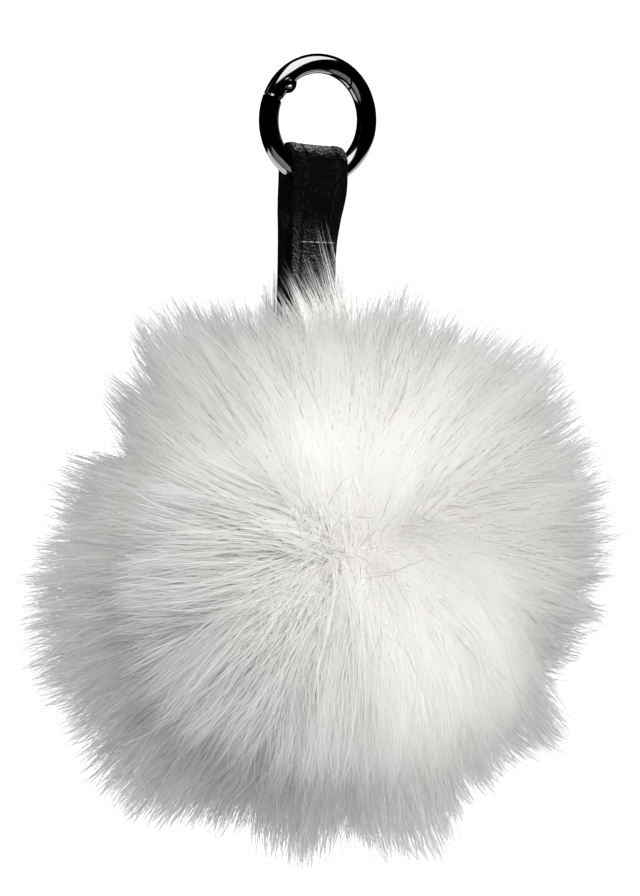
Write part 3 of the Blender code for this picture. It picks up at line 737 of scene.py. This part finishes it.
def add_object(name, bm, material=None):
    bmesh.ops.recalc_face_normals(bm, faces=bm.faces)
    mesh = bpy.data.meshes.new(name)
    bm.to_mesh(mesh)
    bm.free()
    mesh.shade_smooth()
    if material:
        mesh.materials.append(material)
    return place_object(name, mesh)


def make_strap(rows, material):
    outline = strap_outline()
    return loft("strap_leather", [[on_strap(row, *place) for place in outline] for row in rows], material)


def route_length(rows):
    return sum((far.middle - near.middle).length for near, far in zip(rows, rows[1:]))


def row_at(rows, distance):
    """The row at a distance along the strip."""
    gone = 0.0
    for near, far in zip(rows, rows[1:]):
        step = (far.middle - near.middle).length
        if gone + step >= distance:
            share = (distance - gone) / step
            return Row(*(a.lerp(b, share) for a, b in zip(near, far)))
        gone += step
    return rows[-1]


def add_thread(bm, path, radius):
    """A short length of thread along a path, with closed ends."""
    tangents = [after - before for before, after in zip([path[0]] + path, path[1:] + [path[-1]])]
    rings = []
    for index, (point, tangent) in enumerate(zip(path, tangents)):
        side = tangent.cross(Vector(ASKEW)).normalized()
        other = tangent.cross(side).normalized()
        share = index / (len(path) - 1)
        size = radius * (0.45 + 0.55 * sin(pi * share) ** 0.5)
        turns = [2.0 * pi * step / THREAD_SIDES for step in range(THREAD_SIDES)]
        rings.append([bm.verts.new(point + (side * cos(turn) + other * sin(turn)) * size) for turn in turns])
    skin(bm, rings)


def add_stitches(bm, start, stop, length, pitch, place_at):
    """Stitches one after another, as place_at gives them: from how far along the seam, and at which share of one."""
    while start + length <= stop:
        shares = [step / (STITCH_POINTS - 1) for step in range(STITCH_POINTS)]
        add_thread(bm, [place_at(start + share * length, share) for share in shares], THREAD_RADIUS)
        start += pitch


def stitch_height(beside, share, sunk):
    """How high a stitch is over the strap's middle plane, sunk by a share of its thread's radius."""
    return outer_height(beside) + STITCH_RISE * sin(pi * share) - sunk * THREAD_RADIUS


def make_groove_stitches(rows, material):
    """The thread in the groove along each edge of the strip: one long stitch after another."""
    bm = bmesh.new()
    for beside in (-GROOVE_PLACE, GROOVE_PLACE):
        def place_at(distance, share, beside=beside):
            return on_strap(row_at(rows, distance), beside, stitch_height(beside, share, GROOVE_THREAD_SUNK))

        add_stitches(bm, 0.5 * STITCH_PITCH, route_length(rows), STITCH_LENGTH, STITCH_PITCH, place_at)
    return add_object("strap_stitches", bm, material)


def level_place(rows, beside, above, y):
    """The place beside the rows' middles and above them that is this far up, seen from above."""
    places = [on_strap(row, beside, above) for row in rows]
    near = max(index for index, place in enumerate(places[:-1]) if place.y <= y)
    share = (y - places[near].y) / (places[near + 1].y - places[near].y)
    return places[near].lerp(places[near + 1], share)


def make_cross_stitches(rows, material):
    """The row of stitches across the front layer, just above the fur."""
    upper = rows[:len(rows) // 2]

    def place_at(beside, share):
        return level_place(upper, beside, stitch_height(beside, share, CROSS_THREAD_SUNK), CROSS_STITCH_Y)

    bm = bmesh.new()
    add_stitches(bm, CROSS_STITCH_LEFT, CROSS_STITCH_RIGHT, CROSS_STITCH_LENGTH, CROSS_STITCH_PITCH, place_at)
    return add_object("strap_cross_stitches", bm, material)


# ---- The ring ----


def on_ring(angle, radius=None):
    reach = RING_RADIUS if radius is None else radius
    return Vector((reach * cos(angle), reach * sin(angle), 0.0))


def rod_arc(name, start, stop, radius):
    """A bent round rod from one angle to another."""
    steps = round(abs(stop - start) / ROD_STEP)
    rows = []
    for step in range(steps + 1):
        angle = start + (stop - start) * step / steps
        rows.append([on_ring(angle, RING_RADIUS + radius * cos(turn)) for turn in ROD_TURNS])
        for point, turn in zip(rows[-1], ROD_TURNS):
            point.z = radius * sin(turn)
    return loft(name, rows)


def cylinder(name, radius, bottom, top):
    """A round bar about the hinge's axis."""
    circle = [HINGE + radius * Vector((cos(turn), sin(turn), 0.0)) for turn in PIN_TURNS]
    return plate(name, circle, bottom, top)


def plate(name, outline, bottom, top):
    """A flat plate in the ring's plane, from its outline's corners."""
    lift = Vector((0.0, 0.0, 1.0))
    return loft(name, [[point + lift * height for point in outline] for height in (bottom, top)])


def block(name, length, width, half_height, centre, heading):
    """A box in the ring's plane, its length along the heading."""
    along = on_ring(heading, 0.5 * length)
    beside = on_ring(heading + 0.5 * pi, 0.5 * width)
    outline = [centre + along + beside, centre - along + beside, centre - along - beside, centre + along - beside]
    return plate(name, outline, centre.z - half_height, centre.z + half_height)


def combine(obj, operation, other):
    """Cuts with, or joins, another object, and removes it."""
    modifier = obj.modifiers.new(other.name, "BOOLEAN")
    modifier.operation = operation
    modifier.object = other
    modifier.solver = "EXACT"
    settle(obj)
    bpy.data.objects.remove(other)


def cut(obj, cutter):
    combine(obj, "DIFFERENCE", cutter)


def settle(obj):
    """Turns what an object's modifiers make into its own mesh."""
    depsgraph = bpy.context.evaluated_depsgraph_get()
    mesh = bpy.data.meshes.new_from_object(obj.evaluated_get(depsgraph))
    obj.modifiers.clear()
    obj.data = mesh


def slant_cutter(name, slant, shift, sweep):
    """A wedge that takes away the rod past a slanted cut, moved along the ring by shift radians."""
    start = on_ring(slant.inner + shift, RING_RADIUS - ROD_RADIUS)
    end = on_ring(slant.outer + shift, RING_RADIUS + ROD_RADIUS)
    past = (end - start) * CUT_PAST_SHARE
    inner, outer = start - past, end + past
    away = Matrix.Rotation(sweep, 3, "Z")
    corners = [inner, outer, away @ outer, away @ inner]
    return plate(name, corners, -2.0 * ROD_RADIUS, 2.0 * ROD_RADIUS)


def middle_of(slant):
    return 0.5 * (slant.inner + slant.outer)


def make_ring_body():
    """The fixed rod with its slanted seat for the gate's nose, and the hinge's neck and tongue."""
    stop = middle_of(NOSE) + CUT_MARGIN + 2.0 * pi
    body = rod_arc("ring_rod", middle_of(BODY_END) - CUT_MARGIN, stop, ROD_RADIUS)
    cut(body, slant_cutter("nose_seat", NOSE, -0.5 * NOSE_GAP / RING_RADIUS, CUT_SWEEP))
    cut(body, slant_cutter("body_end", BODY_END, 0.0, -CUT_SWEEP))
    soften(body)
    neck = rod_arc("neck", NECK_ANGLE, BODY_END.inner + CUT_MARGIN, NECK_RADIUS)
    combine(body, "UNION", neck)
    tongue = make_tongue()
    cut(tongue, cylinder("tongue_hole", RIVET_RADIUS + GAP, -ROD_RADIUS, ROD_RADIUS))
    combine(body, "UNION", tongue)
    return body


def make_tongue():
    """A flat bar with a round end about the hinge, which starts inside the fixed rod."""
    inside = BODY_END.outer + TONGUE_ROOT_DEPTH
    lower = on_ring(inside, RING_RADIUS + TONGUE_ROOT_HALF_WIDTH)
    upper = on_ring(inside, RING_RADIUS - TONGUE_ROOT_HALF_WIDTH)
    away = HINGE - 0.5 * (lower + upper)
    heading = atan2(away.y, away.x)
    turns = np.linspace(heading - 0.5 * pi, heading + 0.5 * pi, PIN_SIDES // 2)
    outline = [upper, *(HINGE + on_ring(turn, TONGUE_END_RADIUS) for turn in turns), lower]
    return plate("tongue", outline, -TONGUE_HALF_HEIGHT, TONGUE_HALF_HEIGHT)


def make_ring_gate():
    """The gate's rod with a slanted nose, and two flat ears about the hinge with a slot between them."""
    gate = rod_arc("ring_gate_rod", middle_of(NOSE) - CUT_MARGIN, middle_of(GATE_TAIL) + CUT_MARGIN, ROD_RADIUS)
    cut(gate, slant_cutter("gate_nose", NOSE, 0.5 * NOSE_GAP / RING_RADIUS, -CUT_SWEEP))
    cut(gate, slant_cutter("gate_tail", GATE_TAIL, 0.0, CUT_SWEEP))
    combine(gate, "UNION", cylinder("ears", EAR_RADIUS, -EAR_HALF_HEIGHT, EAR_HALF_HEIGHT))
    for side in (1.0, -1.0):
        cut(gate, make_flat(side))
        bottom, top = sorted((side * EAR_HALF_HEIGHT, side * 2.0 * ROD_RADIUS))
        cut(gate, cylinder("pocket", RIVET_POCKET_RADIUS, bottom, top))
    heading = atan2(HINGE.y, HINGE.x) - 0.5 * pi
    centre = HINGE + on_ring(heading, TONGUE_END_RADIUS + 2.0 * GAP - 0.5 * SLOT_LENGTH)
    cut(gate, block("slot", SLOT_LENGTH, SLOT_WIDTH, SLOT_HALF_HEIGHT, centre, heading))
    cut(gate, cylinder("ear_hole", RIVET_RADIUS + GAP, -ROD_RADIUS, ROD_RADIUS))
    soften(gate)
    return gate


def make_flat(side):
    """Takes the rod's crown off from its tail to the hinge."""
    past_tail = GATE_TAIL.outer + 0.5 * CUT_MARGIN
    middle = 0.5 * (past_tail + FLAT_TOP_ANGLE)
    centre = on_ring(middle)
    centre.z = side * (EAR_HALF_HEIGHT + 2.0 * ROD_RADIUS)
    length = (past_tail - FLAT_TOP_ANGLE) * RING_RADIUS
    return block("flat", 4.0 * ROD_RADIUS, length, 2.0 * ROD_RADIUS, centre, middle)


def soften(obj):
    """Rounds the edges of the cuts a little, as plated castings are."""
    bevel = obj.modifiers.new("rounded", "BEVEL")
    bevel.width = METAL_EDGE_ROUND
    bevel.segments = 3
    bevel.limit_method = "ANGLE"
    bevel.angle_limit = radians(40.0)
    bevel.harden_normals = True
    settle(obj)


def make_rivet():
    """A rivet with a rolled, dimpled head on each side, turned about the hinge's axis."""
    bottom = EAR_HALF_HEIGHT + GAP
    profile = [(RIVET_RADIUS, bottom)]
    profile += [(radius, bottom + height) for radius, height in RIVET_HEAD]
    rows = [profile_row(radius, height) for radius, height in profile[::-1]]
    rows += [profile_row(radius, -height) for radius, height in profile]
    return loft("ring_rivet", rows)


def profile_row(radius, height):
    return [HINGE + Vector((radius * cos(turn), radius * sin(turn), height)) for turn in PIN_TURNS]


def make_ring(material):
    """The ring's three pieces, leaning on their right side."""
    pieces = [make_ring_body(), make_ring_gate(), make_rivet()]
    place = Matrix.Translation(RING_CENTRE) @ RING_TURN.to_4x4()
    for piece in pieces:
        piece.data.transform(place)
        piece.data.materials.append(material)
    return pieces


# ---- Materials ----


def new_material(name):
    material = bpy.data.materials.new(name)
    material.use_nodes = True
    nodes = material.node_tree.nodes
    return material, nodes, nodes["Principled BSDF"]


def link(output, entry):
    output.id_data.links.new(output, entry)


def set_inputs(node, **inputs):
    """Sets inputs by their names, with _ for each space in them, or links them to an output."""
    for name, value in inputs.items():
        entry = node.inputs[name.replace("_", " ")]
        if isinstance(value, bpy.types.NodeSocket):
            link(value, entry)
        else:
            entry.default_value = value


def add_node(nodes, kind, output, settings=None, **inputs):
    """The named output of a new node."""
    node = nodes.new("ShaderNode" + kind)
    for name, value in (settings or {}).items():
        setattr(node, name, value)
    set_inputs(node, **inputs)
    return node.outputs[output]


def add_ramp(nodes, share, dark, light):
    """A colour between the dark and the light one."""
    colour = add_node(nodes, "ValToRGB", "Color", Fac=share)
    for element, end in zip(colour.node.color_ramp.elements, (dark, light)):
        element.color = (*end, 1.0)
    return colour


def fur_material():
    """White fibre that lets some light through, a little greyer at its root as painted shade of the deep fur, with
    strands of slightly unlike tone.
    """
    material, nodes, shader = new_material("white_fur")
    tone = add_node(nodes, "Attribute", "Fac", {"attribute_name": "tone"})
    along = add_node(nodes, "Attribute", "Fac", {"attribute_name": "along"})
    fibre = add_ramp(nodes, tone, (0.975, 0.972, 0.967), (0.995, 0.993, 0.990))
    # Painted shade: the roots are coloured a little greyer and warmer than the fibre, as the deep fur is shaded
    root = (0.985, 0.975, 0.960, 1.0)
    colour = add_node(nodes, "Mix", "Result", {"data_type": "RGBA"}, Factor=along, A=root, B=fibre)
    set_inputs(shader, Base_Color=colour, Roughness=0.55, Specular_IOR_Level=0.25)
    mix = add_node(nodes, "MixShader", "Shader", Fac=0.49)
    link(shader.outputs["BSDF"], mix.node.inputs[1])
    link(add_node(nodes, "BsdfTranslucent", "BSDF", Color=colour), mix.node.inputs[2])
    set_inputs(nodes["Material Output"], Surface=mix)
    return material


def core_material():
    """The fur's cloth, which hardly shows between the locks."""
    material, nodes, shader = new_material("fur_ground")
    noise = add_node(nodes, "TexNoise", "Fac", Scale=900.0)
    bump = add_node(nodes, "Bump", "Normal", Height=noise, Strength=0.6, Distance=0.0008)
    set_inputs(shader, Base_Color=(0.93, 0.92, 0.90, 1.0), Roughness=0.9, Normal=bump)
    return material


def leather_material():
    """Black leather with an uneven pebbled grain, a soft sheen, and a painted highlight: a little lighter where the
    grain stands up.
    """
    material, nodes, shader = new_material("black_leather")
    place = add_node(nodes, "TexCoord", "Object")
    drift = add_node(nodes, "TexNoise", "Color", Vector=place, Scale=700.0, Detail=2.0)
    bent = add_node(nodes, "MixRGB", "Color", {"blend_type": "LINEAR_LIGHT"}, Fac=0.0004, Color1=place, Color2=drift)
    smooth = {"feature": "SMOOTH_F1"}
    pebbles = add_node(nodes, "TexVoronoi", "Distance", smooth, Vector=bent, Scale=1900.0, Smoothness=0.35)
    height = add_node(nodes, "MapRange", "Result", Value=pebbles, From_Min=0.15, From_Max=0.75, To_Min=1.0, To_Max=0.0)
    fine = add_node(nodes, "TexNoise", "Fac", Vector=place, Scale=6000.0, Detail=3.0)
    bump = add_node(nodes, "Bump", "Normal", Height=fine, Strength=0.25, Distance=0.00003)
    bump = add_node(nodes, "Bump", "Normal", Height=height, Normal=bump, Strength=0.9, Distance=0.00016)
    gloss = add_node(nodes, "MapRange", "Result", Value=height, To_Min=0.42, To_Max=0.25)
    # Painted highlight: the raised grain is coloured lighter than its hollows
    colour = add_ramp(nodes, height, (0.0014, 0.0014, 0.0015), (0.0042, 0.0040, 0.0040))
    set_inputs(shader, Base_Color=colour, Roughness=gloss, Normal=bump)
    return material


def thread_material(name, dark, light):
    """Twisted sewing thread: fine slanted plies, painted a little lighter where they stand up as a highlight."""
    material, nodes, shader = new_material(name)
    place = add_node(nodes, "TexCoord", "Object")
    slanted = {"bands_direction": "DIAGONAL"}
    plies = add_node(nodes, "TexWave", "Fac", slanted, Vector=place, Scale=1500.0, Distortion=1.5)
    bump = add_node(nodes, "Bump", "Normal", Height=plies, Strength=0.7, Distance=0.00005)
    # Painted highlight: the plies are coloured lighter where they stand up
    set_inputs(shader, Base_Color=add_ramp(nodes, plies, dark, light), Roughness=0.45, Normal=bump)
    return material


def chrome_material():
    """Polished dark plating, with faint smears and fine rub marks."""
    material, nodes, shader = new_material("black_chrome")
    place = add_node(nodes, "TexCoord", "Object")
    smears = add_node(nodes, "TexNoise", "Fac", Vector=place, Scale=260.0, Detail=4.0)
    gloss = add_node(nodes, "MapRange", "Result", Value=smears, From_Min=0.35, From_Max=0.75, To_Min=0.07, To_Max=0.17)
    rubs = add_node(nodes, "TexNoise", "Fac", Vector=place, Scale=2400.0, Detail=2.0)
    bump = add_node(nodes, "Bump", "Normal", Height=rubs, Strength=0.06, Distance=0.00002)
    colour = add_ramp(nodes, smears, (0.115, 0.115, 0.118), (0.150, 0.150, 0.156))
    set_inputs(shader, Base_Color=colour, Metallic=1.0, Roughness=gloss, Normal=bump)
    set_inputs(shader, Coat_Weight=1.0, Coat_Roughness=0.04, Coat_IOR=2.3)
    return material


# ---- Stage ----


def make_floor():
    """A plain pale floor that neither lights nor darkens what lies on it."""
    bpy.ops.mesh.primitive_plane_add(size=FLOOR_SIZE, location=(0.0, 0.0, 0.0))
    floor = bpy.context.object
    floor.name = "floor"
    material, _, shader = new_material("pale_floor")
    set_inputs(shader, Base_Color=(0.95, 0.95, 0.95, 1.0), Roughness=0.9, Specular_IOR_Level=0.1)
    floor.data.materials.append(material)
    floor.visible_glossy = floor.visible_diffuse = floor.visible_shadow = False
    return floor


def make_light(name, location, target, size, power, colour=WHITE):
    light = bpy.data.lights.new(name, "AREA")
    light.shape = "RECTANGLE"
    light.size, light.size_y = size
    light.energy = power
    light.color = colour
    obj = place_object(name, light)
    obj.location = location
    heading = Vector(target) - Vector(location)
    obj.rotation_euler = heading.to_track_quat("-Z", "Y").to_euler()
    obj.visible_camera = False
    return obj


def seen_from_ring(azimuth_degrees, elevation_degrees, distance):
    turn, rise = radians(azimuth_degrees), radians(elevation_degrees)
    level = cos(rise) * distance
    return RING_CENTRE + Vector((level * cos(turn), level * sin(turn), sin(rise) * distance))


# Soft panels that only the metal or only the leather mirrors: where each is, what it faces, its size and radiance
Panel = namedtuple("Panel", "name place target size radiance")
METAL_PANELS = (
    Panel("ring_panel", seen_from_ring(74.0, 20.0, 0.35), RING_CENTRE, (0.42, 0.40), 3.2),
    Panel("ring_side_panel", seen_from_ring(234.0, -14.0, 0.040), RING_CENTRE, (0.030, 0.040), 1.5),
    Panel("gate_panel", (0.0185, 0.0915, -0.010), (0.002, 0.1215, 0.0095), (0.030, 0.030), 1.2),
    Panel("rim_panel", (0.0148, 0.1000, -0.004), (0.0148, 0.1000, 0.996), (0.005, 0.036), 0.8),
)
LEATHER_PANELS = (Panel("strap_panel", seen_from_ring(60.0, -30.0, 0.60), RING_CENTRE, (0.50, 0.17), 12.0),)


def make_panels(panels, shown_in):
    for panel in panels:
        power = panel.radiance * pi * panel.size[0] * panel.size[1]
        light = make_light(panel.name, panel.place, panel.target, panel.size, power)
        light.light_linking.receiver_collection = shown_in


def light_floor(floor):
    """Even light on the floor from straight above, without a shadow."""
    sun = bpy.data.lights.new("floor_light", "SUN")
    sun.energy = FLOOR_LIGHT
    obj = place_object("floor_light", sun)
    obj.light_linking.receiver_collection = group_of("floor_lit", [floor])
    obj.light_linking.blocker_collection = group_of("floor_shading", [floor])


def make_keys(pieces, shading):
    """Soft light from above and the right, a little stronger or weaker for some of the coats."""
    shade = group_of("shading", shading)
    keys = [("key", 1.0, [piece for piece in pieces if piece.name not in COAT_KEY_SHARES])]
    for coat, share in COAT_KEY_SHARES.items():
        keys.append((coat + "_key", share, [piece for piece in pieces if piece.name == coat]))
    for name, share, lit in keys:
        key = make_light(name, KEY_PLACE, FUR_CENTRE, KEY_SIZE, share * KEY_POWER, KEY_COLOUR)
        key.visible_glossy = False
        key.light_linking.receiver_collection = group_of(name + "_lit", lit)
        key.light_linking.blocker_collection = shade


def make_stage(pieces, shading, metal, leather):
    light_floor(make_floor())
    make_keys(pieces, shading)
    metal_group, leather_group = group_of("metal", metal), group_of("leather", leather)
    make_panels(METAL_PANELS, metal_group)
    make_panels(LEATHER_PANELS, leather_group)
    world = bpy.data.worlds.new("studio")
    world.use_nodes = True
    set_inputs(world.node_tree.nodes["Background"], Color=SKY_COLOUR, Strength=SKY_STRENGTH)
    world.cycles_visibility.glossy = False
    scene = bpy.context.scene
    scene.world = world
    scene.view_settings.view_transform = "Standard"
    for kind in ("max", "diffuse", "transmission"):
        setattr(scene.cycles, kind + "_bounces", LIGHT_BOUNCES)


def make_camera():
    data = bpy.data.cameras.new("camera")
    data.sensor_width = SENSOR
    data.lens = SENSOR * CAMERA_DISTANCE * PIXELS_PER_METRE / IMAGE_HEIGHT_PX
    data.clip_start = 0.05
    camera = place_object("camera", data)
    camera.location = (*VIEW_CENTRE, RING_LEVEL + CAMERA_DISTANCE)
    bpy.context.scene.camera = camera


def group_of(name, pieces):
    group = bpy.data.collections.new(name)
    for piece in pieces:
        group.objects.link(piece)
    return group


def carry(piece, body, node):
    """Says what a piece rides on, and the node that it replaces, if any."""
    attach(piece, body)
    if node:
        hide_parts(node)


def main():
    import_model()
    make_camera()
    fur = fur_material()
    core = make_core(core_material())
    pieces = make_fur(fur)
    for piece in (core, *pieces):
        carry(piece, "charm", "pompom")
    rows = strap_rows()
    leather = leather_material()
    strap = make_strap(rows, leather)
    thread = thread_material("black_thread", (0.005, 0.005, 0.005), (0.022, 0.022, 0.022))
    pale_thread = thread_material("grey_thread", (0.16, 0.155, 0.15), (0.52, 0.51, 0.50))
    stitches = make_groove_stitches(rows, thread)
    cross_stitches = make_cross_stitches(rows, pale_thread)
    for piece, node in ((strap, "strap"), (stitches, None), (cross_stitches, None)):
        carry(piece, "charm", node)
    route_length(rows)
    body, gate, rivet = make_ring(chrome_material())
    for piece, node, carrier in ((body, "ring_body", "charm"), (gate, "ring_gate", "gate"), (rivet, "rivet", "charm")):
        carry(piece, carrier, node)
    make_stage(
        [core, *pieces, strap, stitches, cross_stitches, body, gate, rivet],
        [core, strap, body, gate, *(piece for piece in pieces if piece.name in SHADING_COATS)],
        [body, gate, rivet],
        [strap, stitches],
    )


main()
